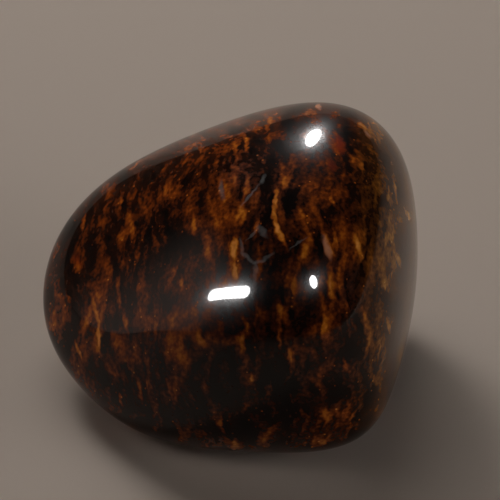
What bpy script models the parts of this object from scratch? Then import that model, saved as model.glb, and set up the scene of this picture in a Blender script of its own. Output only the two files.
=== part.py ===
"""A tumbled bronzite stone: a broken chip whose corners were ground round and then polished.

Lengths are in metres and +Z is up. The stone lies as it rests on a table, with its origin on the
table below the middle of its box. Its length runs along X, and its steep side faces -Y.
"""

import math

import bmesh
import bpy
from mathutils import Vector

MM = 0.001

# The faces that the chip broke along. Each has its degrees round the stone from the front (90 is
# the right side, 180 the back), its degrees up from level, and its millimetres from the chip's
# heart, which lies nearer the thin left end.
CHIP_FACES = {
    "crown": (320, 70, 9.0),
    "left slope": (285, 40, 5.8),
    "right shoulder": (85, 65, 13.6),
    "back slope": (165, 60, 13.8),
    "back left slope": (225, 55, 8.6),
    "front": (10, 25, 12.4),
    "front left": (315, 20, 7.6),
    "front foot": (355, -15, 11.4),
    "right side": (75, 5, 14.0),
    "right foot": (85, -40, 17.0),
    "back right side": (115, 5, 17.6),
    "back": (185, -20, 9.2),
    "back foot": (210, -55, 9.4),
    "left foot": (295, -35, 12.4),
    "base": (0, -90, 9.0),
}
SHARPNESS = 6  # 2 would leave almost a ball, and 20 the broken chip with only its edges taken off
WORN_FLAT = 0.25 * MM  # ground off the lowest point, which leaves the flat that the stone rests on
SUBDIVISIONS = 5

DARK_BRONZE = (0.045, 0.018, 0.007, 1.0)
POLISH_ROUGHNESS = 0.1


def clear_scene():
    for old in list(bpy.data.objects):
        bpy.data.objects.remove(old, do_unlink=True)


def facing(azimuth, elevation):
    """The unit vector that points this many degrees round from the front and up from level."""
    turn = math.radians(azimuth)
    rise = math.radians(elevation)
    return Vector((math.sin(turn) * math.cos(rise), -math.cos(turn) * math.cos(rise), math.sin(rise)))


def stone_radius(direction):
    """How far the stone reaches this way: its nearest face decides, and near an edge two blend."""
    blend = 0.0
    for azimuth, elevation, distance in CHIP_FACES.values():
        towards = max(0.0, direction.dot(facing(azimuth, elevation)))
        blend += (towards / distance) ** SHARPNESS
    return MM * blend ** (-1 / SHARPNESS)


def middle(values):
    return (min(values) + max(values)) / 2


def tumbled_stone():
    """A ball pushed in to the blended faces, cut flat where it rests and moved onto the table."""
    stone = bmesh.new()
    bmesh.ops.create_icosphere(stone, subdivisions=SUBDIVISIONS, radius=1.0)
    for vert in stone.verts:
        direction = vert.co.normalized()
        vert.co = direction * stone_radius(direction)
    table = min(vert.co.z for vert in stone.verts) + WORN_FLAT
    bmesh.ops.bisect_plane(
        stone,
        geom=stone.verts[:] + stone.edges[:] + stone.faces[:],
        plane_co=(0, 0, table),
        plane_no=(0, 0, -1),
        clear_outer=True,
    )
    bmesh.ops.holes_fill(stone, edges=[edge for edge in stone.edges if edge.is_boundary])
    centre_x = middle([vert.co.x for vert in stone.verts])
    centre_y = middle([vert.co.y for vert in stone.verts])
    bmesh.ops.translate(stone, verts=stone.verts, vec=(-centre_x, -centre_y, -table))
    bmesh.ops.recalc_face_normals(stone, faces=stone.faces)
    mesh = bpy.data.meshes.new("tumbled_stone")
    stone.to_mesh(mesh)
    stone.free()
    mesh.shade_smooth()
    return mesh


def polished_bronzite():
    """Dark brown pyroxene rock with a tumbler's polish."""
    material = bpy.data.materials.new("polished bronzite")
    material.use_nodes = True
    shader = material.node_tree.nodes["Principled BSDF"]
    shader.inputs["Base Color"].default_value = DARK_BRONZE
    shader.inputs["Metallic"].default_value = 0.0
    shader.inputs["Roughness"].default_value = POLISH_ROUGHNESS
    return material


clear_scene()
specimen = bpy.data.collections.new("bronzite specimen")
bpy.context.scene.collection.children.link(specimen)
stone_object = bpy.data.objects.new("tumbled_stone", tumbled_stone())
stone_object.data.materials.append(polished_bronzite())
specimen.objects.link(stone_object)
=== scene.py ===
"""A tumbled bronzite stone, lying on a plain pale floor under soft studio lamps.

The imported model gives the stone's box. Lengths are in metres, +Z is up, and -Y is the stone's steep
front. The order is the stone, the floor, the camera, the lamps and the room.
"""

import math

import bmesh
import bpy
from mathutils import Matrix, Vector
from mathutils.bvhtree import BVHTree


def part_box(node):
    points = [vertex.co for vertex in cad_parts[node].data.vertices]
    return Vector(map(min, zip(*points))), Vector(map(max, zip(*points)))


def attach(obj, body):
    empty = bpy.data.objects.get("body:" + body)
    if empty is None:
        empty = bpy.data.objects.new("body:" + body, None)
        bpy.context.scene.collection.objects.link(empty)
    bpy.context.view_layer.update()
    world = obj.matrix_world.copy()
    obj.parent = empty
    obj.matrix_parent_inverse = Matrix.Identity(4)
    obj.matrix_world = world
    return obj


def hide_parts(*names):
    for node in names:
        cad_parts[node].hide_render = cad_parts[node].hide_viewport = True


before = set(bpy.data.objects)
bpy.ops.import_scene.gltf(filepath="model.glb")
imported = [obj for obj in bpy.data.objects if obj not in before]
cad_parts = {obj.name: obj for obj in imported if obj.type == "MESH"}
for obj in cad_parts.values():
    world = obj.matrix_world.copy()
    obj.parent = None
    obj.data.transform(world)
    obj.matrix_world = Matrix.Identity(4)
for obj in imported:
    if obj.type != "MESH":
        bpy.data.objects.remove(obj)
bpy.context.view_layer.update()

# The stone.
# A chip of bronzite rock, ground round by weeks of rolling in grit and then polished. Each face
# that it broke along is still felt in the rounded form, and a worn flat is left where it rests.
MM = 0.001
CHIP_FACES = {  # degrees round from the front, degrees up from level, millimetres from the heart
    "crown": (320, 70, 9.0),
    "left slope": (285, 40, 5.8),
    "right shoulder": (85, 65, 13.6),
    "back slope": (165, 60, 13.8),
    "back left slope": (225, 55, 8.6),
    "front": (10, 25, 12.4),
    "front left": (315, 20, 7.6),
    "front foot": (355, -15, 11.4),
    "right side": (75, 5, 14.0),
    "right foot": (85, -40, 17.0),
    "back right side": (115, 5, 17.6),
    "back": (185, -20, 9.2),
    "back foot": (210, -55, 9.4),
    "left foot": (295, -35, 12.4),
    "base": (0, -90, 9.0),
}
SHARPNESS = 6  # 2 would leave almost a ball, and 20 the broken chip with only its edges taken off
WORN_FLAT = 0.25 * MM
FINE_SUBDIVISIONS = 7


def facing(azimuth, elevation):
    """The unit vector that points this many degrees round from the front and up from level."""
    turn = math.radians(azimuth)
    rise = math.radians(elevation)
    return Vector((math.sin(turn) * math.cos(rise), -math.cos(turn) * math.cos(rise), math.sin(rise)))


CHIP_PLANES = [(facing(around, up), distance) for around, up, distance in CHIP_FACES.values()]


def stone_radius(direction):
    """How far the stone reaches this way: its nearest face decides, and near an edge two blend."""
    blend = 0.0
    for normal, distance in CHIP_PLANES:
        blend += (max(0.0, direction.dot(normal)) / distance) ** SHARPNESS
    return MM * blend ** (-1 / SHARPNESS)


body = bmesh.new()
bmesh.ops.create_icosphere(body, subdivisions=FINE_SUBDIVISIONS, radius=1.0)
for vert in body.verts:
    outwards = vert.co.normalized()
    vert.co = outwards * stone_radius(outwards)
table = min(vert.co.z for vert in body.verts) + WORN_FLAT
bmesh.ops.bisect_plane(
    body,
    geom=body.verts[:] + body.edges[:] + body.faces[:],
    plane_co=(0, 0, table),
    plane_no=(0, 0, -1),
    clear_outer=True,
)
bmesh.ops.holes_fill(body, edges=[edge for edge in body.edges if edge.is_boundary])
body_low = Vector([min(vert.co[axis] for vert in body.verts) for axis in range(3)])
body_high = Vector([max(vert.co[axis] for vert in body.verts) for axis in range(3)])
node_low, node_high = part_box("tumbled_stone")
heart = (node_low + node_high) / 2 - (body_low + body_high) / 2
bmesh.ops.translate(body, verts=body.verts, vec=heart)
bmesh.ops.recalc_face_normals(body, faces=body.faces)
stone_surface = BVHTree.FromBMesh(body)
stone_mesh = bpy.data.meshes.new("bronzite stone")
body.to_mesh(stone_mesh)
body.free()
stone_mesh.shade_smooth()

# The tones run from the black ground to a full bronze flash. Towards the right end a lighter, more
# olive ramp takes over, as painted light and painted reflection on that flank.
BROWN_TONES = (
    (0.30, "#0B0402"),
    (0.40, "#190802"),
    (0.47, "#301204"),
    (0.53, "#481D07"),
    (0.60, "#6A2E0C"),
    (0.68, "#924512"),
    (0.80, "#C4701C"),
    (1.00, "#F09C48"),
)
LIT_FLANK_OLIVE_TONES = (
    (0.30, "#1A0B03"),
    (0.40, "#321705"),
    (0.47, "#482609"),
    (0.53, "#5A320D"),
    (0.60, "#704314"),
    (0.68, "#8C581D"),
    (0.80, "#B4792A"),
    (1.00, "#D89E4C"),
)
LIT_FLANK_STARTS = 7.8  # millimetres towards the right end
LIT_FLANK_FULL = 10.5
GROUND_TONE = 0.485

# The grains are thin blades that stand across the stone's length. Their sizes are millimetres
# across, along and into the grain, and the last number is how strongly each pattern shows.
GRAIN_RISE = math.radians(25)  # the blades lie along the upper face, which rises towards the back
BANDS = (1.7, 6.0, 5.0, 0.54)
GRAINS = (0.8, 2.2, 2.0, 0.48)
SPLINTERS = (0.4, 1.3, 1.1, 0.38)
GRANULES = (0.26, 0.30, 0.26, 0.30)
WAVE_MIDDLE = 0.5  # what each pattern's waves swing about
GLINTS = (0.7, 2.6, 2.2)
GLINT_STARTS = 0.57  # only the tops of these waves glint
GLINT_FULL = 0.74
GLINT_STRENGTH = 0.16
SPECK_SPACING = 0.8
SPECK_CORE = 0.05  # of the spacing, as the rim is
SPECK_RIM = 0.12
SPECK_STRENGTH = 0.25
RAGGED_WAVE = 0.45  # the small waves that fray each grain's edge, and how far they push it
RAGGED_PUSH = (0.4, 0.4, 0.4)
SWAY_WAVE = 6  # the long waves that bend whole bands
SWAY_PUSH = (4, 1, 1)
DULL_TONE = 0.4  # the dark ground takes a slightly softer polish than a bronze flash
DULL_POLISH = 0.24
BRIGHT_TONE = 0.8
BRIGHT_POLISH = 0.16
UNEVENNESS = 0.05 * MM

# Single grains that stand out. Each has its two ends in millimetres on the stone's surface, its
# width in millimetres and its strength.
FLASHES = (
    ((0.27, -5.42, 16.40), (0.34, -6.52, 15.93), 0.50, 0.38),
    ((0.27, -6.87, 15.70), (0.40, -7.85, 15.12), 0.36, 0.36),
    ((3.15, -2.19, 18.16), (2.88, -3.95, 17.71), 0.32, 0.30),
    ((2.88, -3.79, 17.75), (3.15, -5.19, 17.34), 0.40, 0.36),
    ((3.08, -5.03, 17.39), (3.68, -6.33, 16.90), 0.42, 0.36),
    ((1.07, 4.28, 17.51), (1.14, 1.78, 18.00), 0.36, 0.24),
    ((0.33, 3.92, 17.37), (0.40, 0.88, 17.79), 0.36, 0.20),
    ((2.76, 7.15, 16.90), (2.55, 4.72, 17.76), 0.45, 0.22),
    ((5.95, 9.03, 16.40), (5.94, 7.98, 16.92), 0.40, 0.20),
    ((1.14, -1.06, 17.91), (1.07, -2.26, 17.69), 0.45, 0.20),
    ((0.60, -2.42, 17.48), (0.27, -4.03, 16.90), 0.90, 0.10),
    ((-7.63, -1.70, 10.20), (-7.42, -3.69, 9.41), 0.50, 0.30),
    ((-7.21, -4.22, 9.33), (-6.87, -5.65, 8.60), 0.45, 0.24),
    ((-9.33, -1.50, 8.18), (-8.92, -3.29, 7.66), 0.42, 0.24),
    ((-8.92, -3.17, 7.74), (-8.71, -5.14, 6.14), 0.36, 0.24),
    ((-7.89, -4.71, 7.98), (-7.76, -5.73, 7.08), 0.65, 0.18),
    ((-11.05, 0.32, 6.82), (-10.70, -0.63, 6.82), 0.35, 0.24),
    ((-10.49, -2.91, 5.48), (-10.08, -3.98, 4.97), 0.30, 0.24),
    ((6.69, -7.47, 15.76), (6.83, -8.97, 13.97), 0.55, 0.24),
    ((6.43, -9.59, 13.18), (6.23, -10.09, 12.19), 0.40, 0.20),
    ((6.36, -5.70, 16.99), (6.76, -6.86, 16.21), 0.60, 0.36),
    ((4.95, -6.19, 16.96), (5.09, -7.64, 16.08), 0.60, 0.18),
    ((8.38, -5.05, 16.44), (8.84, -6.07, 15.37), 0.50, 0.24),
    ((6.77, -2.63, 17.91), (6.97, -3.31, 17.70), 0.35, 0.22),
    ((7.34, 3.72, 17.97), (7.53, 1.88, 18.10), 0.80, 0.20),
    ((11.05, 2.14, 15.26), (11.25, 0.72, 14.68), 0.50, 0.26),
    ((-2.15, -9.03, 11.29), (-1.81, -9.56, 10.69), 0.60, 0.22),
    ((-0.40, -10.11, 11.33), (0.80, -10.28, 12.09), 0.60, 0.24),
    ((1.47, -11.10, 9.44), (1.47, -11.15, 8.96), 0.30, 0.28),
    ((-3.29, -5.65, 13.35), (-3.22, -6.28, 13.01), 0.40, 0.24),
    ((-2.21, -7.75, 12.93), (-2.48, -8.24, 12.03), 0.45, 0.16),
    ((-2.49, -2.00, 15.64), (-2.29, -3.52, 15.34), 0.50, 0.18),
    ((-6.63, 1.05, 12.30), (-6.48, -1.31, 11.72), 0.60, 0.16),
    ((-7.73, 4.43, 11.77), (-7.45, 2.53, 11.76), 0.80, 0.16),
    ((-10.72, 2.67, 8.12), (-10.24, 1.26, 8.24), 0.70, 0.18),
    ((3.41, -9.63, 14.17), (3.88, -10.25, 13.03), 0.55, 0.16),
    ((10.54, -6.52, 10.58), (10.76, -6.51, 9.15), 0.45, 0.22),
    ((7.64, -10.13, 10.11), (7.78, -10.26, 9.17), 0.45, 0.20),
    ((3.95, -10.81, 11.40), (4.02, -11.11, 9.89), 0.35, 0.18),
    ((-6.20, -7.85, 6.23), (-5.93, -8.42, 4.95), 0.35, 0.22),
    ((-7.49, -7.18, 4.60), (-7.29, -7.49, 3.70), 0.30, 0.22),
)
# Dark pockets in the stone, given in the same form. The widest ones, low on the front and on the left
# flank, are painted shade on faces that turn away from the lamps.
DARK_POCKETS_AND_PAINTED_SHADE = (
    ((2.08, -5.39, 17.08), (2.08, -6.88, 16.40), 1.10, 0.16),
    ((4.09, -1.74, 18.31), (4.09, -4.20, 17.74), 1.30, 0.16),
    ((-4.39, 1.05, 14.59), (-3.84, -2.79, 14.11), 2.00, 0.07),
    ((-0.41, 1.19, 17.45), (-0.27, -0.82, 17.37), 0.90, 0.10),
    ((-6.54, -3.75, 10.52), (-6.53, -5.23, 9.48), 0.80, 0.10),
    ((8.06, -0.71, 17.80), (8.32, -2.00, 17.48), 0.90, 0.10),
    ((-8.34, 3.27, 10.97), (-8.19, 0.73, 10.46), 0.80, 0.08),
    ((2.48, -0.09, 18.33), (2.28, -2.23, 18.02), 0.70, 0.10),
    ((-5.38, -6.72, 9.69), (-4.17, -8.13, 9.65), 1.40, 0.06),
    # painted shade along the low front
    ((-4.04, -9.61, 4.90), (6.72, -10.84, 5.43), 3.60, 0.10),
    ((2.14, -11.06, 10.21), (3.75, -11.28, 7.75), 1.80, 0.08),
    ((5.49, -10.26, 12.34), (5.89, -10.49, 11.30), 1.20, 0.08),
    # painted shade over the whole lower front
    ((1.68, -11.20, 8.65), (1.68, -11.13, 5.95), 13.00, 0.10),
    # painted shade low on the left flank
    ((-10.28, -2.83, 5.94), (-8.51, -6.21, 4.39), 3.40, 0.11),
    # a broad, faint darkening over the left slope
    ((-6.60, 2.50, 12.10), (-7.90, -4.70, 8.00), 7.00, 0.05),
)
VEIN_GREY = "#8E8C8A"
VEINS = (
    ((0.67, -5.51, 16.56), (0.87, -6.52, 16.19), 0.26, 0.26),
    ((0.87, -6.52, 16.19), (1.67, -7.30, 16.05), 0.26, 0.38),
    ((1.67, -7.30, 16.05), (2.28, -7.22, 16.25), 0.26, 0.36),
    ((2.28, -7.22, 16.25), (2.81, -6.86, 16.56), 0.26, 0.26),
    ((1.74, -7.37, 16.03), (1.74, -8.11, 15.51), 0.26, 0.36),
    ((1.74, -8.11, 15.51), (1.61, -8.69, 14.96), 0.26, 0.28),
    ((1.94, -4.86, 17.24), (2.41, -5.66, 17.04), 0.40, 0.26),
    ((1.21, -5.61, 16.73), (1.88, -4.99, 17.18), 0.18, 0.28),
    ((0.87, -2.85, 17.49), (1.88, -1.62, 18.04), 0.18, 0.36),
    ((2.15, -1.33, 18.14), (2.28, -0.81, 18.23), 0.30, 0.30),
    ((-0.61, -0.28, 17.27), (-0.47, -1.68, 17.12), 0.36, 0.28),
    ((4.08, -6.60, 16.78), (5.02, -5.92, 17.08), 0.14, 0.26),
)
RUST = "#8E2A0C"
RUST_SPOTS = (
    ((7.27, 3.56, 18.02), (7.40, 1.83, 18.14), 0.80, 0.60),
    ((6.79, 0.77, 18.32), (6.92, -0.18, 18.24), 0.50, 0.30),
    ((-10.52, 2.61, 8.35), (-10.17, 1.34, 8.35), 0.60, 0.30),
)
PALE_BRONZE = "#C89078"
PALE_FLASHES = (
    ((6.29, -5.78, 16.97), (6.69, -6.87, 16.22), 0.42, 0.60),
    ((5.95, 9.03, 16.40), (6.01, 7.76, 17.01), 0.36, 0.50),
    ((9.18, 5.71, 16.77), (9.31, 5.12, 16.82), 0.36, 0.35),
)
MARK_DEPTH = 0.8  # millimetres under the surface
MARK_END = 0.1  # millimetres that a grain's soft end reaches farther
MARK_CORE = 0.35  # of its half size, up to where it shows in full
MARK_RIM = 1.5  # of its half size, where it has faded out


def linear(hex_colour):
    """An sRGB hex colour as the linear red, green, blue and alpha that a shader takes."""
    channels = [int(hex_colour[start:start + 2], 16) / 255 for start in (1, 3, 5)]
    return (*[c / 12.92 if c <= 0.04045 else ((c + 0.055) / 1.055) ** 2.4 for c in channels], 1.0)


def add_node(tree, kind, sockets, out=0, ramp=None, **settings):
    """Adds a node, sets or links its sockets, and gives back one of its outputs."""
    node = tree.nodes.new(kind)
    for name, value in settings.items():
        setattr(node, name, value)
    if ramp:
        stops = node.color_ramp.elements
        while len(stops) < len(ramp):
            stops.new(1.0)
        for stop, (position, colour) in zip(stops, ramp):
            stop.position = position
            stop.color = linear(colour)
    for name, value in sockets.items():
        if isinstance(value, bpy.types.NodeSocket):
            tree.links.new(value, node.inputs[name])
        else:
            node.inputs[name].default_value = value
    return node.outputs[out]


def polished_bronzite():
    """Dark pyroxene under a clear polish: brown to gold blades in a red-black ground."""
    material = bpy.data.materials.new("polished bronzite")
    material.use_nodes = True
    tree = material.node_tree
    shader = tree.nodes["Principled BSDF"]

    def lumps(place, width, length, depth, out=0):
        """Noise whose waves have these sizes in mm, across, along and into the grain."""
        waves = (1 / width, 1 / length, 1 / depth)
        stretched = add_node(tree, "ShaderNodeVectorMath", {0: place, 1: waves}, operation="MULTIPLY")
        sockets = {"Vector": stretched, "Scale": 1.0, "Detail": 1.0, "Roughness": 0.4}
        return add_node(tree, "ShaderNodeTexNoise", sockets, out=out)

    def shifted(place, wave, push):
        """The place pushed about by this many mm, in waves this wide."""
        swirl = lumps(place, wave, wave, wave, out="Color")
        sockets = {0: swirl, 1: (WAVE_MIDDLE, WAVE_MIDDLE, WAVE_MIDDLE)}
        swirl = add_node(tree, "ShaderNodeVectorMath", sockets, operation="SUBTRACT")
        sockets = {0: swirl, 1: push, 2: place}
        return add_node(tree, "ShaderNodeVectorMath", sockets, operation="MULTIPLY_ADD")

    def added(total, place, pattern):
        """The total with this pattern added, counted from the pattern's middle value."""
        *sizes, strength = pattern
        part = lumps(place, *sizes)
        part = add_node(tree, "ShaderNodeMath", {0: part, 1: WAVE_MIDDLE}, operation="SUBTRACT")
        sockets = {0: part, 1: strength, 2: total}
        return add_node(tree, "ShaderNodeMath", sockets, operation="MULTIPLY_ADD")

    def mark(top, bottom, width, strength):
        """A soft-edged mark that lies in the surface between these two points: a grain, a vein, a
        spot or a patch of painted shade.
        """
        top = Vector(top)
        bottom = Vector(bottom)
        middle = (top + bottom) / 2
        lengthways = (top - bottom).normalized()
        _, outwards, _, _ = stone_surface.find_nearest(middle * MM)
        outwards = (outwards - lengthways * outwards.dot(lengthways)).normalized()
        turn = Matrix((lengthways.cross(outwards), lengthways, outwards)).transposed().to_euler()
        half_length = (top - bottom).length / 2 + MARK_END
        sockets = {
            "Vector": ragged,
            "Location": middle,
            "Rotation": turn,
            "Scale": (width / 2, half_length, max(MARK_DEPTH, width / 2)),
        }
        inside = add_node(tree, "ShaderNodeMapping", sockets, vector_type="TEXTURE")
        far = add_node(tree, "ShaderNodeVectorMath", {0: inside}, out="Value", operation="LENGTH")
        fade = {
            "Value": far,
            "From Min": MARK_CORE,
            "From Max": MARK_RIM,
            "To Min": strength,
            "To Max": 0.0,
        }
        return add_node(tree, "ShaderNodeMapRange", fade, interpolation_type="SMOOTHSTEP")

    place = add_node(tree, "ShaderNodeTexCoord", {}, out="Object")
    in_mm = add_node(tree, "ShaderNodeVectorMath", {0: place, "Scale": 1 / MM}, operation="SCALE")
    ragged = shifted(in_mm, RAGGED_WAVE, RAGGED_PUSH)
    grain = add_node(tree, "ShaderNodeMapping", {"Vector": ragged, "Rotation": (-GRAIN_RISE, 0, 0)})
    bent = shifted(grain, SWAY_WAVE, SWAY_PUSH)

    glints = {
        "Value": lumps(bent, *GLINTS),
        "From Min": GLINT_STARTS,
        "From Max": GLINT_FULL,
        "To Min": 0.0,
        "To Max": GLINT_STRENGTH,
    }
    glints = add_node(tree, "ShaderNodeMapRange", glints, interpolation_type="SMOOTHSTEP")
    specks = add_node(tree, "ShaderNodeTexVoronoi", {"Vector": in_mm, "Scale": 1 / SPECK_SPACING})
    specks = {
        "Value": specks,
        "From Min": SPECK_CORE,
        "From Max": SPECK_RIM,
        "To Min": SPECK_STRENGTH,
        "To Max": 0.0,
    }
    specks = add_node(tree, "ShaderNodeMapRange", specks, interpolation_type="SMOOTHSTEP")
    tone = add_node(tree, "ShaderNodeMath", {0: glints, 1: GROUND_TONE}, operation="ADD")
    tone = add_node(tree, "ShaderNodeMath", {0: tone, 1: specks}, operation="ADD")
    for pattern in (BANDS, GRAINS, SPLINTERS):
        tone = added(tone, bent, pattern)
    tone = added(tone, in_mm, GRANULES)
    for flash in FLASHES:
        tone = add_node(tree, "ShaderNodeMath", {0: tone, 1: mark(*flash)}, operation="ADD")
    # Dark pockets, and the painted shade on the low front and left flank, take tone away.
    for darkening in DARK_POCKETS_AND_PAINTED_SHADE:
        tone = add_node(tree, "ShaderNodeMath", {0: tone, 1: mark(*darkening)}, operation="SUBTRACT")

    # Painted light and painted reflection: towards the right flank the colour turns to the lighter
    # olive ramp.
    lit_flank = add_node(tree, "ShaderNodeSeparateXYZ", {0: in_mm}, out="X")
    lit_flank = {"Value": lit_flank, "From Min": LIT_FLANK_STARTS, "From Max": LIT_FLANK_FULL}
    lit_flank = add_node(tree, "ShaderNodeMapRange", lit_flank, interpolation_type="SMOOTHSTEP")
    brown = add_node(tree, "ShaderNodeValToRGB", {"Fac": tone}, ramp=BROWN_TONES)
    lit_olive = add_node(tree, "ShaderNodeValToRGB", {"Fac": tone}, ramp=LIT_FLANK_OLIVE_TONES)
    colour = add_node(tree, "ShaderNodeMix", {0: lit_flank, 6: brown, 7: lit_olive}, out=2, data_type="RGBA")
    for spots, tint in ((VEINS, VEIN_GREY), (RUST_SPOTS, RUST), (PALE_FLASHES, PALE_BRONZE)):
        for spot in spots:
            sockets = {0: mark(*spot), 6: colour, 7: linear(tint)}
            colour = add_node(tree, "ShaderNodeMix", sockets, out=2, data_type="RGBA")
    tree.links.new(colour, shader.inputs["Base Color"])

    polish = {
        "Value": tone,
        "From Min": DULL_TONE,
        "From Max": BRIGHT_TONE,
        "To Min": DULL_POLISH,
        "To Max": BRIGHT_POLISH,
    }
    polish = add_node(tree, "ShaderNodeMapRange", polish, interpolation_type="SMOOTHSTEP")
    tree.links.new(polish, shader.inputs["Roughness"])
    uneven = {"Height": lumps(bent, *GRAINS[:3]), "Strength": 0.2, "Distance": UNEVENNESS}
    tree.links.new(add_node(tree, "ShaderNodeBump", uneven), shader.inputs["Normal"])

    # The clear polish gives the eye small hard highlights and a mirror that grows towards the
    # outline. The grains' own gloss under it is nearly nothing, so the ground stays black.
    shader.inputs["Specular IOR Level"].default_value = 0.05
    shader.inputs["Coat Weight"].default_value = 0.6
    shader.inputs["Coat Roughness"].default_value = 0.035
    shader.inputs["Coat IOR"].default_value = 1.42
    return material


stone_mesh.materials.append(polished_bronzite())
stone = bpy.data.objects.new("bronzite_stone", stone_mesh)
bpy.context.scene.collection.objects.link(stone)
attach(stone, "root")
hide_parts("tumbled_stone")

# The floor.
# A plain pale board, which isn't part of the stone. It is matt, so that it gives the polish a
# soft, even thing to mirror.
FLOOR_REACH = 3.0  # metres each way
PALE_BOARD = "#BFB0A3"
board = bmesh.new()
bmesh.ops.create_grid(board, x_segments=1, y_segments=1, size=FLOOR_REACH)
floor_mesh = bpy.data.meshes.new("pale floor")
board.to_mesh(floor_mesh)
board.free()
matt_board = bpy.data.materials.new("matt pale board")
matt_board.use_nodes = True
board_shader = matt_board.node_tree.nodes["Principled BSDF"]
board_shader.inputs["Base Color"].default_value = linear(PALE_BOARD)
board_shader.inputs["Roughness"].default_value = 0.9
board_shader.inputs["Specular IOR Level"].default_value = 0.0
floor_mesh.materials.append(matt_board)
floor = bpy.data.objects.new("pale_floor", floor_mesh)
bpy.context.scene.collection.objects.link(floor)

# The camera.
# A close view from some 40 degrees above the table, through a long lens that hardly tapers.
LOOK_DOWN = 40  # degrees
VIEW_DISTANCE = 1000 * MM
VIEW_WIDTH = 33.8 * MM  # what the picture spans at the stone
VIEW_AIM = Vector((1.34, 1.08, 10.16)) * MM
SENSOR_WIDTH = 36  # the lens and its picture are measured in plain millimetres
to_camera = facing(0, LOOK_DOWN)
lens = bpy.data.cameras.new("close-up lens")
lens.sensor_width = SENSOR_WIDTH
lens.lens = SENSOR_WIDTH * VIEW_DISTANCE / VIEW_WIDTH
lens.clip_start = 10 * MM
camera = bpy.data.objects.new("camera", lens)
eye = VIEW_AIM + to_camera * VIEW_DISTANCE
camera.matrix_world = Matrix.LocRotScale(eye, to_camera.to_track_quat("Z", "Y"), None)
bpy.context.scene.collection.objects.link(camera)
bpy.context.scene.camera = camera
bpy.context.scene.view_settings.view_transform = "Standard"

# The lamps.
# Two soft boxes close to the stone light it and the floor round it, and a third lights the floor
# farther back. A row of round lamp heads and two tall lamps hang where the polish mirrors them.
SOFT_BOXES = {  # degrees round from the front, up from level, millimetres off, wide, tall, watts
    "soft box behind": (194, 50, 140, 110, 110, 0.056),
    "far soft box behind": (208, 36, 900, 300, 300, 2.4),
    "low soft box at the right": (72, 14, 260, 130, 80, 0.150),
}
LAMP_DISTANCE = 1200 * MM
MIRRORED_LAMPS = {  # degrees round from the front, up from level, degrees wide, tall, brightness
    "front right lamp": (34, 44, 5.5, 14, 120),
    "back lamp": (175, 24, 5.5, 16, 120),
}
ROW_START = facing(-79, 20)
ROW_END = facing(-51.5, 37)
ROW_HEADS = 9
ROW_BRIGHTNESS = 70
ROW_START_SIZE = 8  # degrees
ROW_END_SIZE = 12

for head in range(ROW_HEADS):
    share = head / (ROW_HEADS - 1)
    towards = ROW_START.slerp(ROW_END, share)
    around = math.degrees(math.atan2(towards.x, -towards.y))
    up = math.degrees(math.asin(towards.z))
    size = ROW_START_SIZE + (ROW_END_SIZE - ROW_START_SIZE) * share
    MIRRORED_LAMPS[f"row lamp {head + 1}"] = (around, up, size, size, ROW_BRIGHTNESS)


def hang_lamp(name, towards, distance, width, height, watts):
    """An elliptical soft lamp this far off the stone, turned towards it."""
    lamp = bpy.data.lights.new(name, "AREA")
    lamp.shape = "ELLIPSE"
    lamp.size = width
    lamp.size_y = height
    lamp.energy = watts
    holder = bpy.data.objects.new(name, lamp)
    turned = towards.to_track_quat("Z", "Y")
    holder.matrix_world = Matrix.LocRotScale(VIEW_AIM + towards * distance, turned, None)
    bpy.context.scene.collection.objects.link(holder)
    return holder


for name, (around, up, off, wide, tall, watts) in SOFT_BOXES.items():
    soft_box = hang_lamp(name, facing(around, up), off * MM, wide * MM, tall * MM, watts)
    soft_box.visible_glossy = False
for name, (around, up, wide, tall, brightness) in MIRRORED_LAMPS.items():
    width = 2 * LAMP_DISTANCE * math.tan(math.radians(wide) / 2)
    height = 2 * LAMP_DISTANCE * math.tan(math.radians(tall) / 2)
    watts = brightness * math.pi * (math.pi / 4) * width * height
    mirrored_lamp = hang_lamp(name, facing(around, up), LAMP_DISTANCE, width, height, watts)
    mirrored_lamp.visible_diffuse = False

# The room.
# It is dim, with a soft glow low on the left, which the polish shows as a faint haze.
GLOW_TOWARDS = facing(-92, 14)
GLOW_EDGE = 0.86  # the cosine of the angle, some 30 degrees, at which the glow ends
ROOM_DARK = (0.008, 0.008, 0.008, 1.0)
ROOM_GLOW = (0.55, 0.42, 0.36, 1.0)
room = bpy.data.worlds.new("dim room")
room.use_nodes = True
air = room.node_tree
outlook = add_node(air, "ShaderNodeTexCoord", {}, out="Generated")
sockets = {0: outlook, 1: GLOW_TOWARDS}
nearness = add_node(air, "ShaderNodeVectorMath", sockets, out="Value", operation="DOT_PRODUCT")
sockets = {"Value": nearness, "From Min": GLOW_EDGE, "From Max": 1.0}
glow = add_node(air, "ShaderNodeMapRange", sockets, interpolation_type="SMOOTHSTEP")
glow = add_node(air, "ShaderNodeMix", {0: glow, 6: ROOM_DARK, 7: ROOM_GLOW}, out=2, data_type="RGBA")
air.links.new(glow, air.nodes["Background"].inputs["Color"])
bpy.context.scene.world = room
